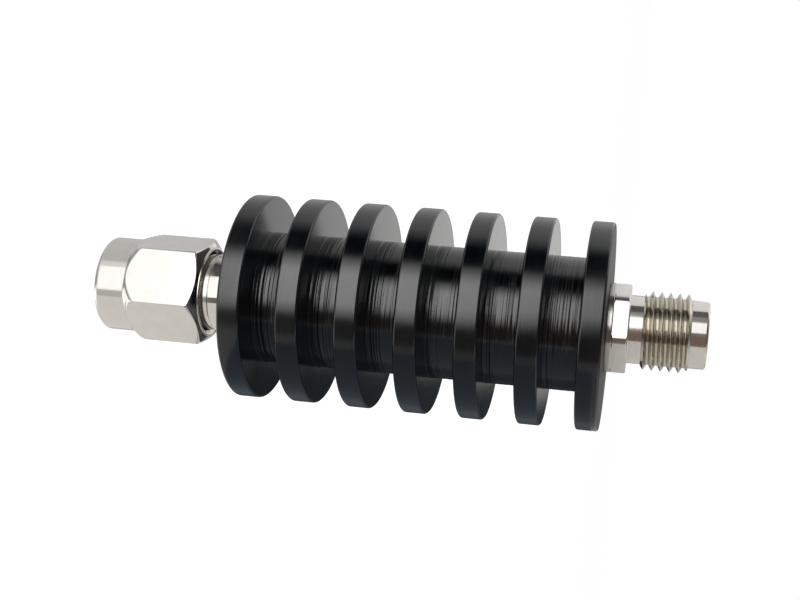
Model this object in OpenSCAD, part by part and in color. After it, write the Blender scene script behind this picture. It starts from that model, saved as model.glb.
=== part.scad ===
// Finned coaxial attenuator with a threaded plug at one end and a threaded jack at the other.
// It stands on its plug: z = 0 is the front face of the coupling nut and the jack points up.

/* [Heat sink] */
// Diameter of the fins
fin_d = 16.75; // [13:0.05:30]
// Thickness of one fin
fin_t = 1.8; // [0.8:0.1:2.8]
// Distance from one fin to the next
fin_pitch = 4.64; // [3.7:0.02:8]
// Number of fins
fin_count = 7; // [6:1:12]
// Chamfer on both rim edges of a fin
fin_chamfer = 0.1; // [0.05:0.05:0.35]
// Diameter of the core between the fins
core_d = 10.8; // [8:0.1:12]
// Diameter of the straight bore through the core
bore_d = 5.9; // [5.4:0.05:6.2]

/* [Coupling nut] */
// Width of the nut across its flats
nut_af = 7.94; // [7.6:0.02:9.5]
// How far the corners of the nut's hexagon are turned down
nut_corner_cut = 0.03; // [0.02:0.01:0.2]
// Diameter of the round collar at the front of the nut
nut_collar_d = 7.75; // [7.55:0.05:7.9]
// Length of the round collar
nut_collar_len = 2.6; // [1:0.1:3]
// Chamfer on the front edge of the collar
nut_edge = 0.25; // [0.05:0.05:0.35]
// Slope of the front of the hexagon, from the axis
nut_front_slope = 40; // [18:1:60]
// Slope of the back of the hexagon, from the axis
nut_back_slope = 60; // [30:1:75]
// Diameter of the round rim behind the hexagon
nut_rim_d = 7.4; // [7.3:0.05:7.9]
// Length of the round rim
nut_rim_len = 0.1; // [0.1:0.05:1]
// Length of the nut behind its retaining ring
nut_tail = 1.35; // [1:0.05:4]
// Length of the threaded bore in the nut
nut_thread_len = 5.2; // [3:0.1:6]
// Depth of the countersinks at both ends of the nut's bore
nut_countersink = 0.3; // [0.05:0.05:0.35]
// Turn of both hexagons about the axis, in degrees
hex_turn = -12; // [-30:1:30]

/* [Plug] */
// Depth of the plug's mating face behind the front of the nut
plug_recess = 3.2; // [2.6:0.1:5]
// Diameter of the pilot that enters a jack
pilot_d = 4.58; // [4.4:0.01:4.7]
// Free length of the pilot
pilot_len = 1.8; // [1.2:0.1:3]
// Thickness of the gasket
gasket_t = 0.75; // [0.4:0.05:1.2]
// How far the gasket stops short of the journal's edge
gasket_margin = 0.15; // [0.05:0.05:0.5]
// Depth of the gasket's groove below the pilot
gasket_undercut = 0.16; // [0.02:0.02:0.2]
// Length of the journal between the gasket and the retaining ring
ring_land = 1.2; // [0.6:0.1:3]
// Thickness of the retaining ring
ring_t = 0.6; // [0.3:0.05:1]
// Outer diameter of the retaining ring
ring_d = 7; // [6.7:0.05:7.3]
// Radial width of the retaining ring
ring_w = 0.7; // [0.4:0.05:0.8]
// Width of the split in the retaining ring
ring_split = 1.2; // [0.3:0.1:3]
// Diameter of the journal that the nut turns on
journal_d = 6.3; // [6.22:0.02:6.4]
// Length of the journal left in view behind the nut
journal_gap = 0.55; // [0.1:0.05:3]
// Diameter of the neck between the nut and the heat sink
neck_d = 6.45; // [6.4:0.05:7.5]
// Length of the neck
neck_len = 2.7; // [0.5:0.05:6]

/* [Jack] */
// Width of the jack's hexagon across its flats
jack_af = 6.5; // [6.3:0.05:7.1]
// Diameter of the flange, which the corners of the hexagon are turned to
flange_d = 7.16; // [6.8:0.02:7.5]
// Thickness of the flange
flange_t = 0.5; // [0.2:0.05:2]
// Length of the hexagon
jack_hex_len = 1.2; // [0.6:0.05:4]
// Chamfer on the outer corners of the hexagon
jack_hex_chamfer = 0.2; // [0.05:0.05:0.4]
// Diameter of the undercut behind the thread
undercut_d = 5.45; // [5.3:0.05:6]
// Length of the undercut
undercut_len = 1.1; // [0.3:0.05:3]
// Outer diameter of the thread
thread_d = 6.3; // [6.1:0.01:6.35]
// Length of the thread
thread_len = 3.75; // [2:0.05:8]
// Chamfer at both ends of the thread
thread_chamfer = 0.3; // [0.1:0.05:0.4]
// Diameter of the plain nose ahead of the thread
nose_d = 5.4; // [5.2:0.05:5.6]
// Length of the nose
nose_len = 1.35; // [0.5:0.05:3]
// How far a mating plug's gasket is squeezed
gasket_squeeze = 0.15; // [0.05:0.05:0.35]

/* [Coaxial line] */
// Diameter of both insulators
insulator_d = 4; // [3.6:0.05:4.1]
// Diameter of the inner conductors inside the insulators
line_d = 1.27; // [1.2:0.01:1.6]
// Diameter of the plug's pin
pin_d = 0.92; // [0.8:0.01:0.93]
// Length of the pin ahead of the mating face
pin_len = 2.3; // [1.5:0.1:2.5]
// Length of the pin's conical tip
pin_tip_len = 0.4; // [0.1:0.05:0.8]
// Diameter of the flat end of the pin's tip
pin_tip_d = 0.4; // [0.1:0.05:0.7]
// Bore of the jack's spring contact
contact_bore_d = 0.94; // [0.9:0.01:1]
// Depth of that bore
contact_bore_len = 3; // [2.5:0.1:5]
// Width of the slots between the contact's fingers
contact_slot_w = 0.15; // [0.08:0.01:0.17]
// Length of those slots
contact_slot_len = 2.4; // [1:0.1:2.9]
// Diameter of the stop collar behind each insulator
stop_d = 1.8; // [1.7:0.05:2.4]
// Length of the stop collar
stop_len = 0.5; // [0.2:0.05:1.5]
// Length of the two spigots inside the heat sink
spigot_len = 6; // [3:0.1:7]

/* [Attenuator card] */
// Width of the ceramic card
card_w = 4.4; // [3.6:0.1:4.8]
// Length of the ceramic card
card_len = 8; // [5:0.1:11]
// Thickness of the ceramic card
card_t = 0.5; // [0.3:0.05:0.8]
// Thickness of the printed films
film_t = 0.05; // [0.02:0.01:0.1]
// Width of the resistor's series bar
series_w = 1; // [0.4:0.05:1.6]
// Length of the resistor's shunt arms
shunt_len = 1.2; // [0.4:0.1:3]
// Width of the line pads
pad_w = 1.2; // [0.6:0.05:2]
// Length of the line pads
pad_len = 1.4; // [0.8:0.1:2]
// Width of the ground strips along the card's edges
ground_w = 0.5; // [0.3:0.05:0.9]
// Width of the channel through the carrier halves
channel_w = 3; // [2.6:0.1:3.3]
// Depth of the channel in each carrier half
channel_h = 1.5; // [1.3:0.05:2]
// Width of the ribbon tabs
tab_w = 0.8; // [0.3:0.05:1]
// Thickness of the ribbon tabs
tab_t = 0.1; // [0.05:0.01:0.2]
// Lap of a ribbon tab on its pad and on its conductor
tab_lap = 1; // [0.4:0.1:1.4]
// Free gap between a conductor's end and the card
tail_gap = 0.3; // [0.1:0.05:1]

/* [Fits] */
// Radial play of the nut on its journal
nut_clear = 0.08; // [0.02:0.01:0.1]
// Radial play of a threaded bore over the thread
thread_clear = 0.05; // [0.01:0.01:0.1]
// Radial play of the pilot in a jack's socket
socket_clear = 0.025; // [0.01:0.005:0.1]
// Play of the pieces seated in the heat sink, the bodies and the carriers
seat_clear = 0.02; // [0.01:0.01:0.05]
// Play of the retaining ring in its grooves
ring_clear = 0.05; // [0.02:0.01:0.1]

/* [Hidden] */
$fn = 96;
hexagon = 6;
finger_count = 4;
// Extra length that lets a cut run clear through a face
through = 0.5;

// Heights along the axis, from the nut up to the jack
mating_z = plug_recess;
gasket_z = mating_z + pilot_len;
shoulder_z = gasket_z + gasket_t;
ring_z = shoulder_z + ring_land;
groove_z = ring_z - ring_clear;
groove_end = ring_z + ring_t + ring_clear;
nut_len = ring_z + ring_t + nut_tail;
neck_z = nut_len + journal_gap;
sink_z = neck_z + neck_len;
sink_len = (fin_count - 1) * fin_pitch + fin_t;
jack_z = sink_z + sink_len;
jack_hex_z = jack_z + flange_t;
undercut_z = jack_hex_z + jack_hex_len;
thread_z = undercut_z + undercut_len;
nose_z = thread_z + thread_len;
jack_end = nose_z + nose_len;
socket_depth = pilot_len + gasket_squeeze;
socket_z = jack_end - socket_depth;
carrier_z = sink_z + spigot_len;
carrier_end = jack_z - spigot_len;
card_mid = (carrier_z + carrier_end) / 2;
card_z = card_mid - card_len / 2;
card_end = card_mid + card_len / 2;

// Radii that follow from the fits
in_bore_r = bore_d / 2 - seat_clear;
line_bore_r = insulator_d / 2;
insulator_r = line_bore_r - seat_clear;
line_hole_r = line_d / 2 + seat_clear;
journal_r = journal_d / 2;
nut_bore_r = journal_r + nut_clear;
nut_thread_r = thread_d / 2 + thread_clear;
ring_hole_r = ring_d / 2 - ring_w;
ring_seat_r = ring_hole_r - ring_clear;
ring_groove_r = ring_d / 2 + ring_clear;
pilot_r = pilot_d / 2;
gasket_seat_r = pilot_r - gasket_undercut;
socket_r = pilot_r + socket_clear;
// The films and the flats of the conductors share this plane, in front of the card
film_y = -card_t / 2 - film_t;

// A solid of revolution about the Z axis from points of radius and height
module turned(points) {
    rotate_extrude() polygon(points);
}

// The metal outside the six flats of a hexagon, to be milled off a turned blank of the given radius
module around_flats(af, blank_r, z0, z1) {
    for (i = [0 : hexagon - 1]) {
        rotate([0, 0, hex_turn + (i + 0.5) * 360 / hexagon])
            translate([af / 2, -blank_r, z0])
                cube([blank_r, 2 * blank_r, z1 - z0]);
    }
}

// A box centred on the axis in X, between two planes in Y and in Z
module slab(w, y0, y1, z0, z1) {
    translate([-w / 2, y0, z0]) cube([w, y1 - y0, z1 - z0]);
}

// One fin with both rim edges chamfered
module fin() {
    r = fin_d / 2;
    turned([
        [0, 0], [r - fin_chamfer, 0], [r, fin_chamfer],
        [r, fin_t - fin_chamfer], [r - fin_chamfer, fin_t], [0, fin_t]
    ]);
}

// The heat sink, turned from one bar: fins on a core, with one straight bore
module heat_sink() {
    color("#1d1e20")
        translate([0, 0, sink_z])
            difference() {
                union() {
                    cylinder(d = core_d, h = sink_len);
                    for (i = [0 : fin_count - 1]) {
                        translate([0, 0, i * fin_pitch]) fin();
                    }
                }
                translate([0, 0, -through]) cylinder(d = bore_d, h = sink_len + 2 * through);
            }
}

// The plug's turned body: pilot, gasket groove, journal with the ring's groove, neck and spigot
module plug_body() {
    lip = (pilot_r - line_bore_r) / 2;
    color("#d9d6d0")
        turned([
            [line_bore_r, mating_z], [pilot_r - lip, mating_z], [pilot_r, mating_z + lip],
            [pilot_r, gasket_z], [gasket_seat_r, gasket_z], [gasket_seat_r, shoulder_z],
            [journal_r, shoulder_z], [journal_r, groove_z],
            [ring_seat_r, groove_z], [ring_seat_r, groove_end],
            [journal_r, groove_end], [journal_r, neck_z],
            [neck_d / 2, neck_z], [neck_d / 2, sink_z],
            [in_bore_r, sink_z], [in_bore_r, carrier_z], [line_bore_r, carrier_z]
        ]);
}

// The coupling nut, turned and then milled to a hexagon: collar, coned hexagon, rim and stepped bore
module coupling_nut() {
    collar_r = nut_collar_d / 2;
    rim_r = nut_rim_d / 2;
    corner_r = nut_af / 2 / cos(180 / hexagon) - nut_corner_cut;
    rim_z = nut_len - nut_rim_len;
    front_z = nut_collar_len + (corner_r - collar_r) / tan(nut_front_slope);
    back_z = rim_z - (corner_r - rim_r) / tan(nut_back_slope);
    color("#cfccc6")
        difference() {
            turned([
                [nut_thread_r + nut_countersink, 0], [collar_r - nut_edge, 0], [collar_r, nut_edge],
                [collar_r, nut_collar_len], [corner_r, front_z], [corner_r, back_z],
                [rim_r, rim_z], [rim_r, nut_len], [nut_bore_r + nut_countersink, nut_len],
                [nut_bore_r, nut_len - nut_countersink], [nut_bore_r, groove_end],
                [ring_groove_r, groove_end], [ring_groove_r, groove_z],
                [nut_bore_r, groove_z], [nut_bore_r, nut_thread_len],
                [nut_thread_r, nut_thread_len], [nut_thread_r, nut_countersink]
            ]);
            around_flats(nut_af, corner_r, nut_collar_len, rim_z);
        }
}

// The split ring that holds the nut on the plug
module snap_ring() {
    color("#b9a36a")
        translate([0, 0, ring_z])
            difference() {
                cylinder(d = ring_d, h = ring_t);
                translate([0, 0, -through]) cylinder(r = ring_hole_r, h = ring_t + 2 * through);
                translate([0, -ring_split / 2, -through]) cube([ring_d, ring_split, ring_t + 2 * through]);
            }
}

// The flat gasket in its groove behind the pilot
module plug_gasket() {
    color("#c8482e")
        translate([0, 0, gasket_z])
            difference() {
                cylinder(r = journal_r - gasket_margin, h = gasket_t);
                translate([0, 0, -through])
                    cylinder(r = gasket_seat_r + seat_clear, h = gasket_t + 2 * through);
            }
}

// A bored insulator between two heights
module insulator(z0, z1) {
    color("#f2f0ea")
        translate([0, 0, z0])
            difference() {
                cylinder(r = insulator_r, h = z1 - z0);
                translate([0, 0, -through]) cylinder(r = line_hole_r, h = z1 - z0 + 2 * through);
            }
}

module plug_insulator() {
    insulator(mating_z, carrier_z);
}

module jack_insulator() {
    insulator(carrier_end, socket_z);
}

// The part of a conductor inside the carriers: stop collar, then a tail with a flat for its tab.
// It is drawn upwards from z = 0, where the insulator ends.
module conductor_tail() {
    tail_end = card_z - carrier_z - tail_gap;
    cylinder(d = stop_d, h = stop_len);
    difference() {
        cylinder(d = line_d, h = tail_end);
        slab(line_d, film_y - line_d, film_y, stop_len, tail_end + through);
    }
}

// The plug's centre conductor with its mating pin
module plug_pin() {
    tip_z = mating_z - pin_len;
    color("#d8b25a") {
        turned([
            [0, tip_z], [pin_tip_d / 2, tip_z], [pin_d / 2, tip_z + pin_tip_len], [pin_d / 2, mating_z],
            [line_d / 2, mating_z], [line_d / 2, carrier_z], [0, carrier_z]
        ]);
        translate([0, 0, carrier_z]) conductor_tail();
    }
}

// The jack's body, turned and then milled: spigot, flange, hexagon, undercut, thread, nose and socket
module jack_body() {
    flange_r = flange_d / 2;
    thread_r = thread_d / 2;
    nose_r = nose_d / 2;
    lip = (nose_r - socket_r) / 3;
    color("#d9d6d0")
        difference() {
            turned([
                [line_bore_r, carrier_end], [in_bore_r, carrier_end], [in_bore_r, jack_z], [flange_r, jack_z],
                [flange_r, undercut_z - jack_hex_chamfer], [flange_r - jack_hex_chamfer, undercut_z],
                [undercut_d / 2, undercut_z], [undercut_d / 2, thread_z],
                [thread_r - thread_chamfer, thread_z], [thread_r, thread_z + thread_chamfer],
                [thread_r, nose_z - thread_chamfer], [thread_r - thread_chamfer, nose_z],
                [nose_r, nose_z], [nose_r, jack_end - lip], [nose_r - lip, jack_end],
                [socket_r, jack_end], [socket_r, socket_z], [line_bore_r, socket_z]
            ]);
            around_flats(jack_af, flange_r, jack_hex_z, undercut_z + undercut_len / 2);
        }
}

// The jack's centre conductor with its slotted spring contact
module jack_contact() {
    slot_z = socket_z - contact_slot_len;
    color("#d8b25a") {
        difference() {
            translate([0, 0, carrier_end]) cylinder(d = line_d, h = socket_z - carrier_end);
            translate([0, 0, socket_z - contact_bore_len])
                cylinder(d = contact_bore_d, h = contact_bore_len + through);
            for (i = [0 : finger_count / 2 - 1]) {
                rotate([0, 0, i * 360 / finger_count])
                    slab(2 * line_d, -contact_slot_w / 2, contact_slot_w / 2, slot_z, jack_end);
            }
        }
        translate([0, 0, carrier_end]) mirror([0, 0, 1]) conductor_tail();
    }
}

// One half of the ground sleeve that clamps the card, on the side of the sign in Y
module carrier_half(side) {
    slot_h = side < 0 ? -film_y : card_t / 2;
    color("#c9b37c")
        difference() {
            intersection() {
                translate([0, 0, carrier_z]) cylinder(r = in_bore_r, h = carrier_end - carrier_z);
                slab(bore_d, min(0, side * bore_d), max(0, side * bore_d), carrier_z, carrier_end);
            }
            slab(channel_w, -channel_h, channel_h, carrier_z - through, carrier_end + through);
            slab(card_w + 2 * seat_clear, -slot_h, slot_h, card_z - seat_clear, card_end + seat_clear);
        }
}

module carrier_front() {
    carrier_half(-1);
}

module carrier_back() {
    carrier_half(1);
}

// The ceramic card
module chip_substrate() {
    color("#eceae2") slab(card_w, -card_t / 2, card_t / 2, card_z, card_end);
}

// The resistor: a series bar from pad to pad and a shunt arm out to each ground strip
module resistor_film() {
    arm_w = card_w - 2 * ground_w;
    color("#3a3733") {
        slab(series_w, film_y, -card_t / 2, card_z + pad_len, card_end - pad_len);
        slab(arm_w, film_y, -card_t / 2, card_mid - shunt_len / 2, card_mid + shunt_len / 2);
    }
}

// The metal films: a line pad at each end and a ground strip along each edge
module chip_electrodes() {
    strip_x = (card_w - ground_w) / 2;
    color("#d4af55") {
        slab(pad_w, film_y, -card_t / 2, card_z, card_z + pad_len);
        slab(pad_w, film_y, -card_t / 2, card_end - pad_len, card_end);
        for (side = [-1, 1]) {
            translate([side * strip_x, 0, 0]) slab(ground_w, film_y, -card_t / 2, card_z, card_end);
        }
    }
}

// A ribbon that bridges from a conductor's flat to its pad, drawn upwards from the conductor's end
module ribbon_tab() {
    color("#e0bd62") slab(tab_w, film_y - tab_t, film_y, -tab_lap, tail_gap + tab_lap);
}

module input_tab() {
    translate([0, 0, card_z - tail_gap]) ribbon_tab();
}

module output_tab() {
    translate([0, 0, card_end + tail_gap]) mirror([0, 0, 1]) ribbon_tab();
}

heat_sink();
plug_body();
coupling_nut();
snap_ring();
plug_gasket();
plug_insulator();
plug_pin();
jack_body();
jack_insulator();
jack_contact();
carrier_front();
carrier_back();
chip_substrate();
resistor_film();
chip_electrodes();
input_tab();
output_tab();
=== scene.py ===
"""Looks of a finned coaxial attenuator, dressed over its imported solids.

The part stands on its coupling nut, with its axis along Z and the jack at the top. The camera lies on
its side, so the picture shows the part lying down with the plug at the left.
"""

import math

import bmesh
import bpy
import numpy as np
from mathutils import Matrix, Vector


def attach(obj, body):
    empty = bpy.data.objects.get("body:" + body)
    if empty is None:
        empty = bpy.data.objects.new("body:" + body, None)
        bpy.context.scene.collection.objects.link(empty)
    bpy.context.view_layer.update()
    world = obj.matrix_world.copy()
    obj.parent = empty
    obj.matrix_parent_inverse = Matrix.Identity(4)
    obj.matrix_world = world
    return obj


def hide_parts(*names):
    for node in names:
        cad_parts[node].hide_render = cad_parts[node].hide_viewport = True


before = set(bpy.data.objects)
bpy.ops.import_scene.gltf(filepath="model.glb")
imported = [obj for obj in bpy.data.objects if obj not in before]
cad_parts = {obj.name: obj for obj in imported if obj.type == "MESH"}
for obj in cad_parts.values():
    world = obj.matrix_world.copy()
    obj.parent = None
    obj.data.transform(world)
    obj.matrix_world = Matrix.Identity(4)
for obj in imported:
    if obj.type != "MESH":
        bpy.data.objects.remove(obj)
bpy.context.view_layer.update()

MM = 0.001
TAU = 2 * math.pi

# Heat sink, in millimetres like all sizes of the part below
FIN_COUNT = 7
FIN_PITCH = 4.64
FIN_T = 1.8
FIN_R = 8.375
FIN_CHAMFER = 0.12
FIN_EASE = 0.06
CORE_R = 5.4
ROOT_R = 0.12
SINK_BORE_R = 2.95
SINK_BORE_EASE = 0.1
SINK_Z = 12.15
SINK_END = SINK_Z + FIN_PITCH * (FIN_COUNT - 1) + FIN_T
END_FACE_MARGIN = 0.04

# Turning grooves on the core, which stays plain beside each fin
GROOVE_ROWS = 56
GROOVE_DEPTH = 0.022
GROOVE_WIDTH = 0.11
GROOVE_REACH = 0.4
GROOVE_LEAST_R = SINK_BORE_R + 1
CORE_PLAIN = 0.2

# Coupling nut
NUT_AF = 7.94
NUT_BLANK_R = 4.55
COLLAR_R = 3.875
COLLAR_LEN = 2.6
COLLAR_EDGE = 0.25
COLLAR_FACE_EASE = 0.1
COLLAR_SIDE_EASE = 0.12
COLLAR_ROOT_EASE = 0.2
NUT_FRONT_SLOPE = 40
NUT_BACK_SLOPE = 60
NUT_RIM_R = 3.7
NUT_RIM_Z = 8.8
NUT_LEN = 8.9
NUT_COUNTERSINK = 0.3
NUT_BORE_R = 3.23
NUT_THREAD_R = 3.2
NUT_THREAD_LEN = 5.2
NUT_THREAD_STEP = 0.05
NUT_GROOVE_R = 3.55
NUT_GROOVE_Z = 6.9
NUT_GROOVE_END = 7.6
NUT_EASE = 0.06
NUT_CORNER_EASE = 0.3
NUT_CORNER_DROP = 0.13
NUT_FRONT_BREAK = 0.2
NUT_BACK_BREAK = 0.12
NUT_HEX_SUPPORT = 0.04
HEX_TURN = -12

# Plug body and its gasket
LINE_BORE_R = 2.0
PILOT_R = 2.29
PILOT_CHAMFER = 0.15
MATING_Z = 3.2
GASKET_Z = 5.0
GASKET_SEAT_R = 2.13
GASKET_PLAY = 0.02
GASKET_R = 3.0
GASKET_BORE_EASE = 0.08
GASKET_RIM_EASE = 0.18
SHOULDER_Z = 5.75
JOURNAL_R = 3.15
RING_SEAT_R = 2.75
NECK_R = 3.225
NECK_Z = 9.45
NECK_LINE_FRONT = 0.04
NECK_LINE_BACK = 0.06
NECK_LINE_DEPTH = 0.07
SPIGOT_R = 2.93
SPIGOT_LEN = 6.0

# Jack body
JACK_Z = SINK_END
FLANGE_R = 3.58
FLANGE_T = 0.5
FLANGE_LINE = 0.05
JACK_AF = 6.5
JACK_HEX_Z = JACK_Z + FLANGE_T
JACK_HEX_LEN = 1.2
JACK_HEX_CHAMFER = 0.06
JACK_HEX_BREAK = 0.02
JACK_HEX_SUPPORT = 0.12
UNDERCUT_R = 2.725
UNDERCUT_Z = JACK_HEX_Z + JACK_HEX_LEN
UNDERCUT_LEN = 1.1
THREAD_R = 3.15
THREAD_Z = UNDERCUT_Z + UNDERCUT_LEN
THREAD_LEN = 3.75
THREAD_END = THREAD_Z + THREAD_LEN
NOSE_R = 2.7
NOSE_LEN = 1.35
JACK_END = THREAD_END + NOSE_LEN
SOCKET_R = 2.315
SOCKET_DEPTH = 1.95
SOCKET_Z = JACK_END - SOCKET_DEPTH
LIP = (NOSE_R - SOCKET_R) / 3

# Threads: a quarter inch across with 36 turns to the inch, right-hand
THREAD_PITCH = 25.4 / 36
THREAD_ROWS_PER_TURN = 40
THREAD_ROW = THREAD_PITCH / THREAD_ROWS_PER_TURN
THREAD_DEPTH = 0.43
THREAD_CHAMFER = 0.13
THREAD_INSET = 0.001
THREAD_SLACK = 0.01
CREST_FLAT = 0.07
ROOT_FLAT = 0.26
JACK_CREST_Z = 45.193
NUT_CREST_Z = 0.9
NUT_THREAD_DEPTH = 0.4
NUT_THREAD_LEAST_R = 3.0
# How far the thread's tarnish and painted shade reach up from the root and down from the crest
TARNISH_AND_SHADE_ABOVE_ROOT = 0.1
TARNISH_AND_SHADE_BELOW_CREST = 0.03

# Insulators, which end at the carrier of the attenuator card
INSULATOR_R = 1.98
LINE_HOLE_R = 0.655
CARRIER_Z = SINK_Z + SPIGOT_LEN
CARRIER_END = JACK_Z - SPIGOT_LEN

# Eases of turned edges, from a broken edge to a rounded lip
BROKEN = 0.02
FINE = 0.03
SLIGHT = 0.04
EASED = 0.05
ROUND = 0.06
ROUND_LIP = 0.08

# Meshes: counts, shares of an edge, degrees, and distances in metres
ROUND_COLUMNS = 128
INNER_COLUMNS = 96
HEX_FLAT_STEPS = 14
HEX_CORNER_STEPS = 4
ARC_STEPS = 4
ARC_ROOM = 0.36
ARC_SUPPORT = 1.3
SHARP_ANGLE = 50
SAME_POINT = 1e-7
SAME_SEAM = 1e-6
END_FACES, FIN_STRIP, CORE_STRIP = 0, 1, 2

# Camera, fitted to the photograph: place in metres, axes in the part's frame
CAMERA_PLACE = (0.0, -0.098822, 0.045212)
CAMERA_RIGHT = (-0.089423, 0.137300, 0.986485)
CAMERA_DOWN = (0.995914, 0.024882, 0.086815)
CAMERA_LENS = 55.292
CAMERA_SENSOR = 36.0
CAMERA_SHIFT = -0.1
CAMERA_NEAR, CAMERA_FAR = 0.005, 20.0

# Studio, in metres: the cards' heights are named for what mirrors them
CARD_R = 0.35
CARD_STEP = 5
END_REACH = 1.05 * CARD_R
LOW, LINE, NUT, TOP, SHOULDER, HIGH = -0.5, -0.19, -0.1225, 0.078, 0.15, 0.6
NECK, NECK_END, FIRST_FIN, FOURTH_FIN, LAST_FIN, JACK = -0.1215, -0.1125, -0.1075, -0.03, 0.026, 0.037
COOL, WARM = (1.0, 0.995, 0.985), (1.0, 0.94, 0.86)
BROWN, BEIGE = (1.0, 0.74, 0.62), (1.0, 0.975, 0.93)
SHADOW_BLUE = (0.81, 0.95, 1.09)
SHADOW_X, SHADOW_FROM, SHADOW_TO = 0.0088, 0.0115, 0.0412
FLOOR_HALF = 2.0
FLOOR_GLOW = 0.84
FLOOR_GREY = (0.3, 0.3, 0.3, 1)
WHITE_LIGHT = (1, 1, 1, 1)
WORLD_FILL = 0.5
MIDDLE = (0, 0, 0.025)


class Wire:
    """A node's output socket. Arithmetic on it adds Math nodes to its tree."""

    def __init__(self, graph, socket):
        self.graph = graph
        self.socket = socket

    def out(self, name):
        """Another output of the same node."""
        return Wire(self.graph, self.socket.node.outputs[name])

    def apply(self, operation, first, second=0.0):
        """The result of a Math node."""
        return self.graph.add("ShaderNodeMath", {"operation": operation}, {0: first, 1: second})

    def __add__(self, other):
        return self.apply("ADD", self, other)

    def __radd__(self, other):
        return self.apply("ADD", other, self)

    def __sub__(self, other):
        return self.apply("SUBTRACT", self, other)

    def __rsub__(self, other):
        return self.apply("SUBTRACT", other, self)

    def __mul__(self, other):
        return self.apply("MULTIPLY", self, other)

    def __rmul__(self, other):
        return self.apply("MULTIPLY", other, self)

    def __truediv__(self, other):
        return self.apply("DIVIDE", self, other)

    def __rtruediv__(self, other):
        return self.apply("DIVIDE", other, self)

    def __pow__(self, other):
        return self.apply("POWER", self, other)

    def __neg__(self):
        return self.apply("MULTIPLY", self, -1.0)

    def __abs__(self):
        return self.apply("ABSOLUTE", self)

    def __gt__(self, other):
        return self.apply("GREATER_THAN", self, other)

    def __lt__(self, other):
        return self.apply("LESS_THAN", self, other)

    def least(self, other):
        return self.apply("MINIMUM", self, other)

    def most(self, other):
        return self.apply("MAXIMUM", self, other)

    def clamped(self):
        return self.most(0.0).least(1.0)

    def between(self, low, high):
        """0 below low, 1 above high, and an even rise from one to the other."""
        return ((self - low) / (high - low)).clamped()


class Graph:
    """A shader or geometry tree that is written as expressions."""

    def __init__(self, tree):
        self.tree = tree

    def add(self, kind, settings=None, inputs=None, out=0):
        """A new node's output. A list links several wires to one input."""
        node = self.tree.nodes.new(kind)
        for name, value in (settings or {}).items():
            setattr(node, name, value)
        for name, value in (inputs or {}).items():
            for one in value if isinstance(value, list) else [value]:
                if isinstance(one, Wire):
                    self.tree.links.new(one.socket, node.inputs[name])
                else:
                    node.inputs[name].default_value = one
        return Wire(self, node.outputs[out]) if node.outputs else None

    def axes(self, vector):
        """The x, y and z of a vector."""
        x = self.add("ShaderNodeSeparateXYZ", inputs={0: vector})
        return x, x.out("Y"), x.out("Z")

    def round_axis(self, vector):
        """Distance from the Z axis, the direction's two parts, and the height, of a place."""
        x, y, z = self.axes(vector)
        radius = (x * x + y * y) ** 0.5
        reach = radius.most(SAME_SEAM)
        return radius, x / reach, y / reach, z

    def blend(self, factor, first, second):
        """A colour between two colours."""
        return self.add("ShaderNodeMix", {"data_type": "RGBA"}, {0: factor, 6: first, 7: second}, out=2)

    def seen_ray(self):
        """1 for rays from the camera, off mirrors and through glass, and 0 for the rest."""
        ray = self.add("ShaderNodeLightPath", out="Is Camera Ray")
        return ray.most(ray.out("Is Glossy Ray")).most(ray.out("Is Transmission Ray"))


class Finish(Graph):
    """A material around one Principled shader. Its sizes are in millimetres."""

    def __init__(self, name, **constants):
        self.material = bpy.data.materials.new(name)
        self.material.use_nodes = True
        super().__init__(self.material.node_tree)
        self.shader = self.tree.nodes["Principled BSDF"]
        for label, value in constants.items():
            self.shader.inputs[label.replace("_", " ")].default_value = value
        self.place = self.add("ShaderNodeTexCoord", out="Object")

    def wear(self, **links):
        """Feeds what changes over the surface to the shader's sockets."""
        for label, wire in links.items():
            self.tree.links.new(wire.socket, self.shader.inputs[label.replace("_", " ")])
        return self.material

    def lathe_marks(self, width, reach):
        """Noise drawn out round the axis, as a turning tool leaves it: fine across, long along the marks."""
        radius, across, along, height = self.round_axis(self.place)
        vector = self.add(
            "ShaderNodeCombineXYZ",
            inputs={0: across * reach, 1: along * reach, 2: radius / (width * MM)})
        return self.add(
            "ShaderNodeTexNoise", {"noise_dimensions": "4D"},
            {"Vector": vector, "W": height / (width * MM), "Scale": 1.0, "Detail": 3.0})

    def speckle(self, size, detail=2.0):
        """Even noise with spots of about the given size."""
        return self.add(
            "ShaderNodeTexNoise", inputs={"Vector": self.place, "Scale": 1 / (size * MM), "Detail": detail})

    def bump(self, height, depth, strength):
        return self.add(
            "ShaderNodeBump", inputs={"Height": height, "Distance": depth * MM, "Strength": strength})


def black_anodise():
    """Satin black anodised aluminium with turning marks, duller on the end face beside the jack."""
    f = Finish("black_anodise", Metallic=0.0, IOR=1.5, Specular_IOR_Level=0.8)
    fine = f.lathe_marks(width=0.06, reach=3.0)
    broad = f.lathe_marks(width=0.4, reach=2.0)
    spots = f.speckle(0.6)
    colour = f.blend(broad.between(0.35, 0.7), (0.0008, 0.0016, 0.0026, 1), (0.0020, 0.0034, 0.0050, 1))
    end_face = f.axes(f.place)[2] > (SINK_END - END_FACE_MARGIN) * MM
    rough = 0.11 + 0.11 * fine + 0.06 * (spots - 0.5) + 0.33 * end_face
    return f.wear(
        Base_Color=colour, Roughness=rough.clamped(),
        Normal=f.bump(fine * 0.6 + broad * 0.4, depth=0.006, strength=0.5))


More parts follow.
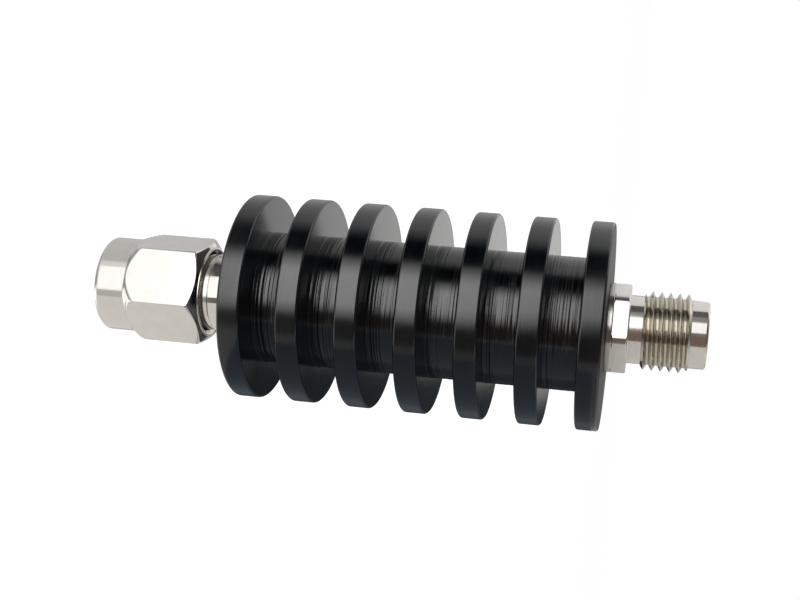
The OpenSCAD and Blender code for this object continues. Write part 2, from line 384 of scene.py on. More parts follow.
def nickel():
    """Bright nickel plate over turned and milled brass.

    It is polished on the neck. Its colour is darker on the jack's flange by painted shade, and darker in the
    jack's thread valleys by tarnish and painted shade.
    """
    f = Finish("nickel", Metallic=1.0)
    radius, _, _, height = f.round_axis(f.place)
    fine = f.lathe_marks(width=0.05, reach=2.0)
    broad = f.lathe_marks(width=0.3, reach=1.2)
    stain = f.speckle(1.2)
    colour = f.blend(stain.between(0.3, 0.75), (0.73, 0.705, 0.67, 1), (0.77, 0.75, 0.72, 1))
    # Tarnish and painted shade: the thread's valleys get a darker colour from the root up to just below the
    # crest, so that they stay dark against the bright crests.
    valley = 1.0 - (radius / MM).between(
        THREAD_R - THREAD_DEPTH + TARNISH_AND_SHADE_ABOVE_ROOT, THREAD_R - TARNISH_AND_SHADE_BELOW_CREST)
    tarnish_and_shade = valley * (height > THREAD_Z * MM) * (height < THREAD_END * MM)
    colour = f.blend(tarnish_and_shade, colour, (0.57, 0.53, 0.445, 1))
    # Painted shade: the jack's flange sits in the corner against the last fin and gets a darker colour there.
    flange = (height > JACK_Z * MM) * (height < JACK_HEX_Z * MM) * (radius > SPIGOT_R * MM)
    colour = f.blend(flange, colour, (0.53, 0.52, 0.49, 1))
    polish = (height > NECK_Z * MM) * (height < SINK_Z * MM)
    rough = (0.07 + 0.09 * fine.between(0.35, 0.75) + 0.04 * broad) * (1.0 - 0.7 * polish)
    return f.wear(Base_Color=colour, Roughness=rough, Normal=f.bump(fine, depth=0.002, strength=0.35))


def gold():
    """Gold plate on the inner conductors."""
    f = Finish("gold", Metallic=1.0)
    marks = f.lathe_marks(width=0.04, reach=1.5)
    colour = f.blend(f.speckle(0.4), (0.80, 0.56, 0.21, 1), (0.86, 0.64, 0.30, 1))
    return f.wear(
        Base_Color=colour, Roughness=0.14 + 0.14 * marks, Normal=f.bump(marks, depth=0.0015, strength=0.4))


def fluoropolymer():
    """Waxy white insulator with faint facing marks."""
    f = Finish("fluoropolymer", Metallic=0.0)
    marks = f.lathe_marks(width=0.08, reach=1.5)
    colour = f.blend(f.speckle(0.5), (0.80, 0.79, 0.76, 1), (0.87, 0.865, 0.845, 1))
    return f.wear(
        Base_Color=colour, Roughness=0.42 + 0.15 * marks, Normal=f.bump(marks, depth=0.005, strength=0.5))


def silicone():
    """Matt red gasket rubber."""
    f = Finish("silicone", Metallic=0.0)
    grain = f.speckle(0.08, detail=3.0)
    colour = f.blend(f.speckle(0.6), (0.44, 0.055, 0.028, 1), (0.56, 0.085, 0.04, 1))
    return f.wear(
        Base_Color=colour, Roughness=0.5 + 0.2 * grain, Normal=f.bump(grain, depth=0.008, strength=0.6))


def spring_bronze():
    """Drawn bronze wire, dull along its length."""
    f = Finish("spring_bronze", Metallic=1.0)
    marks = f.lathe_marks(width=0.05, reach=6.0)
    colour = f.blend(marks, (0.46, 0.31, 0.14, 1), (0.62, 0.45, 0.23, 1))
    return f.wear(
        Base_Color=colour, Roughness=0.25 + 0.2 * marks, Normal=f.bump(marks, depth=0.003, strength=0.5))


def machined_brass():
    """Sawn and turned brass of the hidden carrier."""
    f = Finish("machined_brass", Metallic=1.0)
    marks = f.lathe_marks(width=0.09, reach=2.5)
    colour = f.blend(f.speckle(0.7), (0.58, 0.43, 0.19, 1), (0.66, 0.52, 0.27, 1))
    return f.wear(
        Base_Color=colour, Roughness=0.2 + 0.2 * marks, Normal=f.bump(marks, depth=0.004, strength=0.5))


def alumina():
    """Fine unglazed ceramic."""
    f = Finish("alumina", Metallic=0.0)
    grain = f.speckle(0.04, detail=4.0)
    colour = f.blend(f.speckle(0.3), (0.76, 0.75, 0.70, 1), (0.84, 0.83, 0.79, 1))
    return f.wear(
        Base_Color=colour, Roughness=0.6 + 0.2 * grain, Normal=f.bump(grain, depth=0.004, strength=0.5))


def resistor_film():
    """Fired resistor ink, dark and grainy."""
    f = Finish("resistor_film", Metallic=0.0)
    grain = f.speckle(0.06, detail=4.0)
    colour = f.blend(grain, (0.03, 0.027, 0.025, 1), (0.075, 0.068, 0.06, 1))
    return f.wear(
        Base_Color=colour, Roughness=0.45 + 0.25 * grain, Normal=f.bump(grain, depth=0.004, strength=0.5))


BLACK = black_anodise()
NICKEL = nickel()
GOLD = gold()
WHITE = fluoropolymer()
RED = silicone()


def in_scene(name, data):
    """A new object in the scene."""
    thing = bpy.data.objects.new(name, data)
    bpy.context.scene.collection.objects.link(thing)
    return thing


def eased(outline, closed=True):
    """An outline of (radius, height, ease) with each eased corner turned into a small arc.

    A support point stands just outside each arc, so that smooth shading stays off the long faces.
    """
    points, count = [], len(outline)
    for i, (r, z, *ease) in enumerate(outline):
        corner = np.array((r, z), float)
        if not ease or (not closed and i in (0, count - 1)):
            points.append(corner)
            continue
        back = np.array(outline[i - 1][:2], float) - corner
        ahead = np.array(outline[(i + 1) % count][:2], float) - corner
        room = min(np.linalg.norm(back), np.linalg.norm(ahead))
        size = min(ease[0], ARC_ROOM * room)
        back /= np.linalg.norm(back)
        ahead /= np.linalg.norm(ahead)
        start, end = corner + back * size, corner + ahead * size
        points.append(corner + back * size * ARC_SUPPORT)
        for s in np.linspace(0, 1, ARC_STEPS + 1):
            points.append((1 - s) ** 2 * start + 2 * s * (1 - s) * corner + s ** 2 * end)
        points.append(corner + ahead * size * ARC_SUPPORT)
    return np.array(points)


def rows(radius, z0, z1, step):
    """Points along a straight wall, about a step apart."""
    return [(radius, z) for z in np.linspace(z0, z1, max(2, round(abs(z1 - z0) / step)))]


def round_columns(count):
    """Angles round the axis, with no hexagon radius."""
    return [(TAU * i / count, None) for i in range(count)]


def hex_columns(af, blank_r, most_support):
    """Angles round a hexagon with its radius at each. Its corners are turned to the blank's radius."""
    half = af / 2
    break_angle = math.acos(half / blank_r)
    edge = half * math.tan(break_angle)
    support = min(most_support, edge / HEX_FLAT_STEPS)
    inner = np.linspace(-edge, edge, HEX_FLAT_STEPS)[1:-1]
    along = [-edge, -edge + support, *inner, edge - support, edge]
    corner_step = (TAU / 6 - 2 * break_angle) / HEX_CORNER_STEPS
    columns = []
    for side in range(6):
        middle = math.radians(HEX_TURN + 30 + 60 * side)
        columns += [(middle + math.atan(t / half), math.hypot(half, t)) for t in along]
        columns += [(middle + break_angle + corner_step * s, blank_r) for s in range(1, HEX_CORNER_STEPS)]
    return columns


def add_columns(bm, columns, outlines, closed):
    """Faces between neighbouring columns. Each outline is an array of (radius, height)."""
    made = []
    for (angle, _), outline in zip(columns, outlines):
        c, s = math.cos(angle) * MM, math.sin(angle) * MM
        made.append([bm.verts.new((r * c, r * s, z * MM)) for r, z in outline])
    faces, length = [], len(outlines[0])
    for i, near in enumerate(made):
        far = made[(i + 1) % len(made)]
        for j in range(length if closed else length - 1):
            k = (j + 1) % length
            faces.append(bm.faces.new((near[j], far[j], far[k], near[k])))
    return faces


def shaded(mesh):
    """The mesh with smooth shading up to its sharp edges."""
    mesh.shade_smooth()
    mesh.set_sharp_from_angle(angle=math.radians(SHARP_ANGLE))
    return mesh


def cleaned(bm, name):
    """A shaded mesh with doubles merged and normals outwards."""
    bmesh.ops.remove_doubles(bm, verts=bm.verts, dist=SAME_POINT)
    bmesh.ops.dissolve_degenerate(bm, edges=bm.edges, dist=SAME_POINT)
    bmesh.ops.recalc_face_normals(bm, faces=bm.faces)
    mesh = bpy.data.meshes.new(name)
    bm.to_mesh(mesh)
    bm.free()
    return shaded(mesh)


def turned_mesh(name, columns, outline_at):
    """A ring-shaped solid whose outline at each column is given by the column's hexagon radius."""
    bm = bmesh.new()
    add_columns(bm, columns, [eased(outline_at(hex_r)) for _, hex_r in columns], True)
    return cleaned(bm, name)


def place_piece(name, mesh, finish, body, slot, *nodes):
    """A finished piece that rides on a body and stands for CAD nodes."""
    piece = in_scene(name, mesh)
    mesh.materials.clear()
    mesh.materials.append(finish)
    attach(piece, body)
    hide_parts(*nodes)


class Rule(Graph):
    """A Geometry Nodes tree with named sizes, which grows one plain mesh from another."""

    KINDS = {int: "NodeSocketInt", float: "NodeSocketFloat"}

    def __init__(self, name, **sizes):
        super().__init__(bpy.data.node_groups.new(name, "GeometryNodeTree"))
        face = self.tree.interface
        face.new_socket("Geometry", in_out="INPUT", socket_type="NodeSocketGeometry")
        face.new_socket("Geometry", in_out="OUTPUT", socket_type="NodeSocketGeometry")
        self.sockets = {
            label: face.new_socket(label, in_out="INPUT", socket_type=self.KINDS[kind])
            for label, kind in sizes.items()}
        self.finish = face.new_socket("Finish", in_out="INPUT", socket_type="NodeSocketMaterial")
        self.given = self.add("NodeGroupInput")

    def size(self, label):
        """One of the tree's named sizes."""
        return self.given.out(label)

    def end(self, geometry):
        """Closes the tree with Realize Instances and Set Material."""
        whole = self.add("GeometryNodeRealizeInstances", inputs={"Geometry": geometry})
        dressed = self.add(
            "GeometryNodeSetMaterial", inputs={"Geometry": whole, "Material": self.given.out("Finish")})
        self.add("NodeGroupOutput", inputs={"Geometry": dressed})
        return self

    def grow(self, mesh, finish, **sizes):
        """The mesh that the tree makes at these sizes."""
        seed = in_scene(mesh.name, mesh)
        step = seed.modifiers.new("rule", "NODES")
        step.node_group = self.tree
        for label, value in sizes.items():
            step[self.sockets[label].identifier] = value
        step[self.finish.identifier] = finish
        done = seed.evaluated_get(bpy.context.evaluated_depsgraph_get())
        grown = bpy.data.meshes.new_from_object(done)
        seed.modifiers.remove(step)
        bpy.data.objects.remove(seed)
        return shaded(grown)


def thread_rule():
    """Cuts a right-hand thread: points of one wall move to the radius that the helix gives them.

    The ridge stands on the root radius by the depth, outwards where it is above 0 and inwards below,
    and rises from both ends at 45 degrees.
    """
    g = Rule(
        "cut_thread", Pitch=float, Depth=float, Root=float, Crest_Height=float,
        Start=float, End=float, Least_Radius=float, Most_Radius=float)
    radius, x, y, z = g.round_axis(g.add("GeometryNodeInputPosition"))
    turn = x.apply("ARCTAN2", y, x) / TAU
    turns_up = (z - g.size("Crest_Height")) / g.size("Pitch") - turn + 0.5
    phase = turns_up.apply("FRACT", turns_up)
    ridge = (abs(phase - 0.5) * 2).between(ROOT_FLAT, 1 - CREST_FLAT)
    depth = g.size("Depth")
    tall = (ridge * abs(depth)).least(z - g.size("Start")).least(g.size("End") - z).most(0.0)
    wanted = g.size("Root") + tall * depth.apply("SIGN", depth)
    here = ((radius > g.size("Least_Radius")) * (radius < g.size("Most_Radius"))
            * (z > g.size("Start")) * (z < g.size("End")))
    place = g.add("ShaderNodeCombineXYZ", inputs={0: x * wanted, 1: y * wanted, 2: z})
    cut = g.add(
        "GeometryNodeSetPosition",
        inputs={"Geometry": g.given.out("Geometry"), "Selection": here, "Position": place})
    return g.end(cut)


def fin_rule():
    """Repeats a fin and the core beside it along the axis, joins them to the ends, and roughs the core."""
    g = Rule(
        "stack_fins", Count=int, Pitch=float, Core_Radius=float, Least_Radius=float,
        Groove_Depth=float, Groove_Width=float)
    role = g.add("GeometryNodeInputNamedAttribute", {"data_type": "INT"}, {"Name": "role"})

    def faces_of(kind):
        chosen = g.add("FunctionNodeCompare", {"data_type": "INT", "operation": "EQUAL"}, {2: role, 3: kind})
        return g.add(
            "GeometryNodeSeparateGeometry", {"domain": "FACE"},
            {"Geometry": g.given.out("Geometry"), "Selection": chosen})

    def repeated(part, count):
        step = g.add("ShaderNodeCombineXYZ", inputs={2: g.size("Pitch")})
        line = g.add("GeometryNodeMeshLine", {"mode": "OFFSET"}, {"Count": count, "Offset": step})
        copies = g.add("GeometryNodeInstanceOnPoints", inputs={"Points": line, "Instance": part})
        return g.add("GeometryNodeRealizeInstances", inputs={"Geometry": copies})

    count = g.size("Count")
    fins = repeated(faces_of(FIN_STRIP), count)
    core = repeated(faces_of(CORE_STRIP), count - 1)
    joined = g.add("GeometryNodeJoinGeometry", inputs={0: [faces_of(END_FACES), fins, core]})
    whole = g.add("GeometryNodeMergeByDistance", inputs={"Geometry": joined, "Distance": SAME_SEAM})
    radius, x, y, z = g.round_axis(g.add("GeometryNodeInputPosition"))
    around = g.add("ShaderNodeCombineXYZ", inputs={0: x * GROOVE_REACH, 1: y * GROOVE_REACH})
    rough = g.add(
        "ShaderNodeTexNoise", {"noise_dimensions": "4D"},
        {"Vector": around, "W": z / g.size("Groove_Width"), "Scale": 1.0, "Detail": 2.0, "Roughness": 0.6})
    cut = rough.between(0.42, 0.62) * g.size("Groove_Depth")
    on_core = (radius < g.size("Core_Radius") + SAME_SEAM) * (radius > g.size("Least_Radius"))
    inward = g.add("ShaderNodeCombineXYZ", inputs={0: -x * cut, 1: -y * cut})
    grooved = g.add(
        "GeometryNodeSetPosition", inputs={"Geometry": whole, "Selection": on_core, "Offset": inward})
    return g.end(grooved)


CUT_THREAD = thread_rule()
STACK_FINS = fin_rule()


def finned_body():
    """The heat sink: one fin and one stretch of core, repeated along the axis, with bored ends."""
    columns = round_columns(ROUND_COLUMNS)
    root = CORE_R + ROOT_R
    rim = FIN_R - FIN_CHAMFER
    z0, z1, z2 = SINK_Z, SINK_Z + FIN_T, SINK_Z + FIN_PITCH
    groove_row = (FIN_PITCH - FIN_T) / GROOVE_ROWS
    fin = eased([
        (root, z0), (rim, z0, FIN_EASE), (FIN_R, z0 + FIN_CHAMFER, FIN_EASE),
        (FIN_R, z1 - FIN_CHAMFER, FIN_EASE), (rim, z1, FIN_EASE), (root, z1)], closed=False)
    core = eased([
        (root, z1), (CORE_R, z1, ROOT_R), *rows(CORE_R, z1 + CORE_PLAIN, z2 - CORE_PLAIN, groove_row),
        (CORE_R, z2, ROOT_R), (root, z2)], closed=False)
    ends = eased([
        (root, z0), (SINK_BORE_R, z0, SINK_BORE_EASE), (SINK_BORE_R, SINK_END, SINK_BORE_EASE),
        (root, SINK_END)], closed=False)
    bm = bmesh.new()
    role = bm.faces.layers.int.new("role")
    for kind, outline in ((FIN_STRIP, fin), (CORE_STRIP, core), (END_FACES, ends)):
        for face in add_columns(bm, columns, [outline] * len(columns), False):
            face[role] = kind
    bmesh.ops.recalc_face_normals(bm, faces=bm.faces)
    seed = bpy.data.meshes.new("finned_body_seed")
    bm.to_mesh(seed)
    bm.free()
    stacked = STACK_FINS.grow(
        seed, BLACK, Count=FIN_COUNT, Pitch=FIN_PITCH * MM, Core_Radius=CORE_R * MM,
        Least_Radius=GROOVE_LEAST_R * MM, Groove_Depth=GROOVE_DEPTH * MM, Groove_Width=GROOVE_WIDTH * MM)
    bm = bmesh.new()
    bm.from_mesh(stacked)
    mesh = cleaned(bm, "finned_body")
    place_piece("finned_body", mesh, BLACK, "attenuator", "black_anodised", "heat_sink")


def spinning_nut():
    """The coupling nut: round collar, coned hexagon, rim, and a threaded bore with the ring's groove."""
    front, back = (math.tan(math.radians(a)) for a in (NUT_FRONT_SLOPE, NUT_BACK_SLOPE))

    def outline(hex_r):
        share = (hex_r - COLLAR_R) / (NUT_BLANK_R - COLLAR_R)
        drop = NUT_CORNER_DROP * share
        front_z = COLLAR_LEN + (hex_r - COLLAR_R) / front
        back_z = NUT_RIM_Z - (hex_r - NUT_RIM_R) / back
        return [
            (NUT_THREAD_R + NUT_COUNTERSINK, 0, NUT_EASE), (COLLAR_R - COLLAR_EDGE, 0, COLLAR_FACE_EASE),
            (COLLAR_R, COLLAR_EDGE, COLLAR_SIDE_EASE), (COLLAR_R, COLLAR_LEN, COLLAR_ROOT_EASE),
            (hex_r - drop, front_z - drop / front, NUT_CORNER_EASE),
            (hex_r, front_z + NUT_FRONT_BREAK * share, NUT_CORNER_EASE),
            (hex_r, back_z - NUT_BACK_BREAK * share, NUT_CORNER_EASE),
            (hex_r - drop, back_z + drop / back, NUT_CORNER_EASE),
            (NUT_RIM_R, NUT_RIM_Z, NUT_EASE), (NUT_RIM_R, NUT_LEN, SLIGHT),
            (NUT_BORE_R + NUT_COUNTERSINK, NUT_LEN, NUT_EASE),
            (NUT_BORE_R, NUT_LEN - NUT_COUNTERSINK, NUT_EASE), (NUT_BORE_R, NUT_GROOVE_END),
            (NUT_GROOVE_R, NUT_GROOVE_END), (NUT_GROOVE_R, NUT_GROOVE_Z), (NUT_BORE_R, NUT_GROOVE_Z),
            (NUT_BORE_R, NUT_THREAD_LEN + NUT_THREAD_STEP),
            *rows(NUT_THREAD_R, NUT_THREAD_LEN, NUT_COUNTERSINK, THREAD_ROW)]

    blank = turned_mesh("spinning_nut_blank", hex_columns(NUT_AF, NUT_BLANK_R, NUT_HEX_SUPPORT), outline)
    mesh = CUT_THREAD.grow(
        blank, NICKEL, Pitch=THREAD_PITCH * MM, Depth=-NUT_THREAD_DEPTH * MM, Root=NUT_THREAD_R * MM,
        Crest_Height=NUT_CREST_Z * MM, Start=NUT_COUNTERSINK * MM, End=NUT_THREAD_LEN * MM,
        Least_Radius=NUT_THREAD_LEAST_R * MM, Most_Radius=(NUT_THREAD_R + THREAD_SLACK) * MM)
    place_piece("spinning_nut", mesh, NICKEL, "nut", "nickel_plate", "coupling_nut")


def plug_shell():
    """The plug's turned body. Its neck shows between the nut and the first fin."""
    mesh = turned_mesh("plug_shell", round_columns(ROUND_COLUMNS), lambda _: [
        (LINE_BORE_R, MATING_Z, FINE), (PILOT_R - PILOT_CHAMFER, MATING_Z, SLIGHT),
        (PILOT_R, MATING_Z + PILOT_CHAMFER, SLIGHT), (PILOT_R, GASKET_Z, EASED),
        (GASKET_SEAT_R, GASKET_Z), (GASKET_SEAT_R, SHOULDER_Z), (JOURNAL_R, SHOULDER_Z, EASED),
        (JOURNAL_R, NUT_GROOVE_Z), (RING_SEAT_R, NUT_GROOVE_Z), (RING_SEAT_R, NUT_GROOVE_END),
        (JOURNAL_R, NUT_GROOVE_END), (JOURNAL_R, NECK_Z - NECK_LINE_FRONT),
        (JOURNAL_R - NECK_LINE_DEPTH, NECK_Z), (NECK_R, NECK_Z + NECK_LINE_BACK, BROKEN),
        (NECK_R, SINK_Z), (SPIGOT_R, SINK_Z), (SPIGOT_R, CARRIER_Z, EASED), (LINE_BORE_R, CARRIER_Z, EASED)])
    place_piece("plug_shell", mesh, NICKEL, "attenuator", "nickel_plate", "plug_body")


def jack_shell():
    """The jack's turned and milled body: flange, hexagon, undercut, threaded barrel, nose and socket."""

    def outline(hex_r):
        corner = min(hex_r, FLANGE_R - JACK_HEX_CHAMFER)
        drop = hex_r - corner
        return [
            (LINE_BORE_R, CARRIER_END, EASED), (SPIGOT_R, CARRIER_END, EASED), (SPIGOT_R, JACK_Z),
            (FLANGE_R, JACK_Z, EASED), (FLANGE_R, JACK_HEX_Z - FLANGE_LINE, FINE),
            (min(hex_r, FLANGE_R - FLANGE_LINE), JACK_HEX_Z), (hex_r, JACK_HEX_Z + FLANGE_LINE, BROKEN),
            (hex_r, UNDERCUT_Z - drop - JACK_HEX_BREAK, EASED), (corner - JACK_HEX_BREAK, UNDERCUT_Z, FINE),
            (UNDERCUT_R, UNDERCUT_Z, ROUND), (UNDERCUT_R, THREAD_Z),
            *rows(THREAD_R, THREAD_Z + THREAD_INSET, THREAD_END - THREAD_INSET, THREAD_ROW),
            (NOSE_R, THREAD_END), (NOSE_R, JACK_END - LIP, ROUND_LIP), (NOSE_R - LIP, JACK_END, EASED),
            (SOCKET_R, JACK_END, ROUND), (SOCKET_R, SOCKET_Z, FINE), (LINE_BORE_R, SOCKET_Z, BROKEN)]

    blank = turned_mesh("jack_shell_blank", hex_columns(JACK_AF, FLANGE_R, JACK_HEX_SUPPORT), outline)
    mesh = CUT_THREAD.grow(
        blank, NICKEL, Pitch=THREAD_PITCH * MM, Depth=THREAD_DEPTH * MM,
        Root=(THREAD_R - THREAD_DEPTH) * MM, Crest_Height=JACK_CREST_Z * MM,
        Start=(THREAD_Z - THREAD_CHAMFER) * MM, End=(THREAD_END + THREAD_CHAMFER) * MM,
        Least_Radius=(THREAD_R - THREAD_SLACK) * MM, Most_Radius=(THREAD_R + THREAD_SLACK) * MM)
    place_piece("jack_shell", mesh, NICKEL, "attenuator", "nickel_plate", "jack_body")


def bead(name, z0, z1, node):
    """A bored insulator with eased ends."""
    mesh = turned_mesh(name, round_columns(INNER_COLUMNS), lambda _: [
        (LINE_HOLE_R, z0, SLIGHT), (INSULATOR_R, z0, EASED), (INSULATOR_R, z1, EASED),
        (LINE_HOLE_R, z1, SLIGHT)])
    place_piece(name, mesh, WHITE, "attenuator", "white_dielectric", node)


def gasket_ring():
    """The flat gasket, with moulded edges that are a little round."""
    bore = GASKET_SEAT_R + GASKET_PLAY
    mesh = turned_mesh("gasket_ring", round_columns(INNER_COLUMNS), lambda _: [
        (bore, GASKET_Z, GASKET_BORE_EASE), (GASKET_R, GASKET_Z, GASKET_RIM_EASE),
        (GASKET_R, SHOULDER_Z, GASKET_RIM_EASE), (bore, SHOULDER_Z, GASKET_BORE_EASE)])
    place_piece("gasket_ring", mesh, RED, "attenuator", "silicone", "plug_gasket")


def dress(material, *nodes):
    """A better finish for CAD nodes whose shape is right."""
    for name in nodes:
        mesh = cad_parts[name].data
        mesh.materials.clear()
        mesh.materials.append(material)


finned_body()
spinning_nut()
plug_shell()
jack_shell()
bead("plug_bead", MATING_Z, CARRIER_Z, "plug_insulator")
bead("jack_bead", CARRIER_END, SOCKET_Z, "jack_insulator")
gasket_ring()
dress(GOLD, "plug_pin", "jack_contact", "chip_electrodes", "input_tab", "output_tab")
dress(spring_bronze(), "snap_ring")
dress(machined_brass(), "carrier_front", "carrier_back")
dress(alumina(), "chip_substrate")
dress(resistor_film(), "resistor_film")


def bare_graph(block):
    """The empty tree of a new material or world."""
    block.use_nodes = True
    block.node_tree.nodes.clear()
    return Graph(block.node_tree)


def emitter(name, colour):
    """A glowing material for a studio card, as bright as its glow attribute."""
    material = bpy.data.materials.new(name)
    g = bare_graph(material)
    strength = g.add("ShaderNodeAttribute", {"attribute_name": "glow"}, out="Fac")
    glow = g.add("ShaderNodeEmission", inputs={"Color": (*colour, 1), "Strength": strength})
    g.add("ShaderNodeOutputMaterial", inputs={"Surface": glow})
    return material


def stage_piece(name, points, faces, material):
    """A piece of the studio, which isn't part of the object."""
    mesh = bpy.data.meshes.new(name)
    mesh.from_pydata(points, [], faces)
    mesh.materials.append(material)
    piece = in_scene(name, mesh)
    return piece


def glowing(name, colour, points, faces, glow):
    """A studio card that only polished surfaces see, with its brightness at each point."""
    piece = stage_piece(name, points, faces, emitter(name, colour))
    piece.data.attributes.new("glow", "FLOAT", "POINT").data.foreach_set("value", glow)
    piece.visible_camera = piece.visible_diffuse = piece.visible_shadow = False
    piece.visible_transmission = piece.visible_volume_scatter = False


def card(name, colour, *rings):
    """A curved card round the part, through rings of (height, from angle, to angle, brightness).

    Angles go from the camera's side, -Y, towards -X, the picture's top. A second brightness in a ring
    is the one at its far end.
    """
    steps = max(2, round(abs(rings[0][2] - rings[0][1]) / CARD_STEP))
    points, faces, glow = [], [], []
    for z, start, end, *bright in rings:
        for a in np.radians(np.linspace(start, end, steps + 1)):
            points.append((-CARD_R * math.sin(a), -CARD_R * math.cos(a), z))
        glow += list(np.linspace(bright[0], bright[-1], steps + 1))
    for i in range(len(rings) - 1):
        for j in range(steps):
            k = i * (steps + 1) + j
            faces.append((k, k + 1, k + steps + 2, k + steps + 1))
    glowing(name, colour, points, faces, glow)


def tent_sides():
    """The curved cards, from the back over the picture's top and the window to the table.

    The fins' right faces mirror the back card's narrow rings.
    """
    card("back_card", COOL,
         (LOW, 150, 180, 0.62), (0.045, 150, 180, 0.5), (0.057, 150, 180, 0.35), (0.064, 150, 180, 1.0),
         (0.09, 150, 180, 0.95), (0.14, 150, 180, 0.76), (HIGH, 150, 180, 1.2))
    card("sky_card", COOL,
         (LOW, 95, 150, 0.62), (NUT, 95, 150, 0.62), (NECK, 134, 150, 0.5), (NECK_END, 134, 150, 0.5),
         (FIRST_FIN, 98, 150, 0.62), (LAST_FIN, 98, 150, 0.66), (JACK, 88, 150, 0.84),
         (SHOULDER, 88, 150, 0.84), (HIGH, 88, 150, 1.1))
    card("sky_fade_card", COOL,
         (NUT, 94, 95, 0.0, 0.6), (NECK, 133, 134, 0.1, 0.5), (NECK_END, 133, 134, 0.1, 0.5),
         (FIRST_FIN, 79, 98, 0.0, 0.62), (LAST_FIN, 79, 98, 0.0, 0.66), (JACK, 87, 88, 0.12, 0.84))
    card("flag_card", COOL,
         (NUT, 47, 94, 0.0), (NECK, 47, 133, 0.08), (NECK_END, 47, 133, 0.08), (FIRST_FIN, 56, 79, 0.0),
         (LAST_FIN, 53, 79, 0.0), (JACK, 62, 87, 0.12), (HIGH, 62, 87, 0.12))
    card("flag_end_card", COOL, (LOW, 54, 95, 0.6), (NUT, 54, 95, 0.6))
    card("window_edge_card", COOL, (LOW, 40, 54, 0.85), (NUT, 40, 54, 0.85))
    card("window_fade_card", COOL,
         (NUT, 40, 47, 1.3, 0.0), (NECK, 44, 47, 1.3, 0.1), (NECK_END, 44, 47, 1.3, 0.1),
         (FIRST_FIN, 33, 56, 3.7, 0.0), (LAST_FIN, 32, 53, 2.7, 0.0), (JACK, 42, 62, 0.28),
         (HIGH, 42, 62, 0.28))
    card("window_card", COOL,
         (LINE, -18, 40, 1.35), (NUT, -18, 40, 1.35), (NECK_END, -17, 44, 1.4),
         (FIRST_FIN, -2, 33, 3.2, 3.7), (FOURTH_FIN, -2, 33, 2.9, 3.2), (LAST_FIN, 12, 32, 2.2, 2.7),
         (JACK, 4, 42, 1.33), (TOP, 8, 42, 1.33))
    card("window_sill_card", COOL,
         (NUT, -18.5, -18, 0.2, 1.3), (NECK_END, -17.5, -17, 0.2, 1.3), (FIRST_FIN, -18, -2, 0.14, 3.2),
         (FOURTH_FIN, -19, -2, 0.12, 2.9), (LAST_FIN, -10, 12, 0.06, 2.2), (JACK, 3.5, 4, 0.22, 1.3))
    card("window_foot_card", COOL, (LOW, -18, 40, 0.5), (LINE, -18, 40, 0.9))
    card("window_head_card", COOL, (TOP, 8, 42, 0.12), (HIGH, 8, 42, 0.12))
    card("warm_card", WARM,
         (NUT, -34, -18.5, 0.16), (NECK_END, -34, -17.5, 0.16), (FIRST_FIN, -40, -18, 0.14),
         (FOURTH_FIN, -40, -19, 0.12), (LAST_FIN, -40, -10, 0.06))
    card("brown_card", BROWN,
         (LAST_FIN, -40, -10, 0.1), (JACK, -40, 3.5, 0.2), (TOP, -40, 8, 0.18), (HIGH, -40, 8, 0.08))
    card("brown_end_card", BEIGE, (LOW, -34, -18, 0.55), (NUT, -34, -18, 0.55))
    card("table_card", BEIGE,
         (LOW, -150, -34, 0.76), (NUT, -150, -34, 0.76), (NECK_END, -150, -34, 0.7),
         (FIRST_FIN, -150, -40, 0.4), (LAST_FIN, -150, -40, 0.25), (JACK, -150, -40, 0.64),
         (SHOULDER, -150, -40, 0.64), (HIGH, -150, -40, 0.8))
    card("table_end_card", BEIGE, (LOW, -180, -150, 0.62), (HIGH, -180, -150, 0.25))


def strip(name, colour, bands, place):
    """A flat card through bands of (position across it, brightness). The place gives a band's two ends."""
    points = [end for across, _ in bands for end in place(across)]
    faces = [(i, i + 1, i + 3, i + 2) for i in range(0, 2 * len(bands) - 2, 2)]
    glowing(name, colour, points, faces, [glow for _, glow in bands for _ in range(2)])


def tent_ends():
    """Cards that close the tent of cards: the top's bands run along Y and the bottom's along X."""
    r = END_REACH
    top = ((-r, 0.1), (0.0, 0.1), (0.1, 0.6), (r, 0.6))
    strip("tent_top_card", COOL, top, lambda y: ((-r, y, HIGH), (r, y, HIGH)))
    bottom = (
        (-r, 0.1), (-0.15, 0.6), (-0.05, 0.4), (0.04, 0.4), (0.07, 1.5), (0.225, 1.6), (0.255, 0.8), (r, 0.8))
    strip("tent_bottom_card", COOL, bottom, lambda x: ((x, -r, LOW), (x, r, LOW)))


def table_shadow():
    """The dark patch of table just beside the fins, as they mirror it when the part lies down."""
    sides = ((-0.012, 0.22), (-0.0018, 0.285), (-0.0008, 0.15), (0.001, 0.1), (0.008, 0.05), (0.09, 0.03))
    strip("table_shadow_card", SHADOW_BLUE, sides,
          lambda y: ((SHADOW_X, y, SHADOW_FROM), (SHADOW_X, y, SHADOW_TO)))


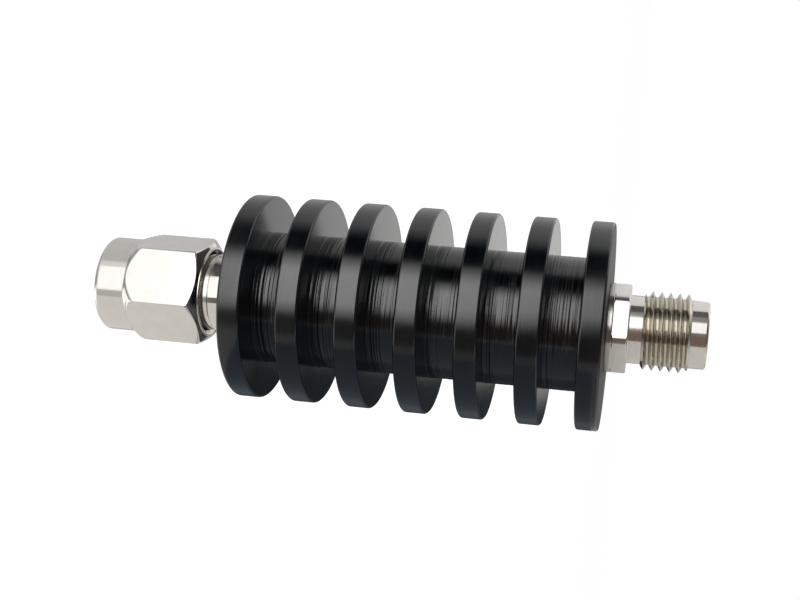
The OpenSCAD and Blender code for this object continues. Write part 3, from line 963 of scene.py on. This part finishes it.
def floor():
    """A plain white floor that keeps a light shadow."""
    material = bpy.data.materials.new("floor_white")
    g = bare_graph(material)
    glow = g.add("ShaderNodeEmission", inputs={"Color": WHITE_LIGHT, "Strength": g.seen_ray() * FLOOR_GLOW})
    matt = g.add("ShaderNodeBsdfDiffuse", inputs={"Color": FLOOR_GREY})
    both = g.add("ShaderNodeAddShader", inputs={0: glow, 1: matt})
    g.add("ShaderNodeOutputMaterial", inputs={"Surface": both})
    s = FLOOR_HALF
    piece = stage_piece("floor", [(-s, -s, 0), (s, -s, 0), (s, s, 0), (-s, s, 0)], [(0, 1, 2, 3)], material)
    piece.visible_glossy = False


def white_world():
    """White to the camera, to mirrors and through glass, and a plain soft fill for everything else."""
    world = bpy.data.worlds.new("studio_white")
    bpy.context.scene.world = world
    g = bare_graph(world)
    strength = WORLD_FILL + (1 - WORLD_FILL) * g.seen_ray()
    sky = g.add("ShaderNodeBackground", inputs={"Color": WHITE_LIGHT, "Strength": strength})
    g.add("ShaderNodeOutputWorld", inputs={"Surface": sky})


def soft_light(name, place, size, power):
    """A large area lamp aimed at the part's middle. Mirrors see the cards instead of it."""
    lamp = bpy.data.lights.new(name, "AREA")
    lamp.shape, lamp.size, lamp.energy = "DISK", size, power
    holder = in_scene(name, lamp)
    holder.location = place
    holder.rotation_euler = (Vector(MIDDLE) - Vector(place)).to_track_quat("-Z", "Y").to_euler()
    holder.visible_glossy = holder.visible_camera = False


def camera():
    """The photograph's camera: it lies on its side, so the part's axis runs across the picture."""
    lens = bpy.data.cameras.new("photo_camera")
    lens.lens, lens.sensor_width, lens.shift_x = CAMERA_LENS, CAMERA_SENSOR, CAMERA_SHIFT
    lens.clip_start, lens.clip_end = CAMERA_NEAR, CAMERA_FAR
    holder = in_scene("photo_camera", lens)
    right, up = Vector(CAMERA_RIGHT), -Vector(CAMERA_DOWN)
    turn = Matrix((right, up, right.cross(up))).transposed().to_4x4()
    holder.matrix_world = Matrix.Translation(CAMERA_PLACE) @ turn
    bpy.context.scene.camera = holder


tent_sides()
tent_ends()
table_shadow()
floor()
white_world()
soft_light("key_light", (-0.30, -0.35, 0.30), size=0.30, power=1.6)
soft_light("fill_light", (0.35, -0.20, 0.25), size=0.35, power=0.6)
soft_light("back_light", (0.05, 0.40, 0.30), size=0.35, power=0.7)
camera()
bpy.context.scene.view_settings.view_transform = "Standard"
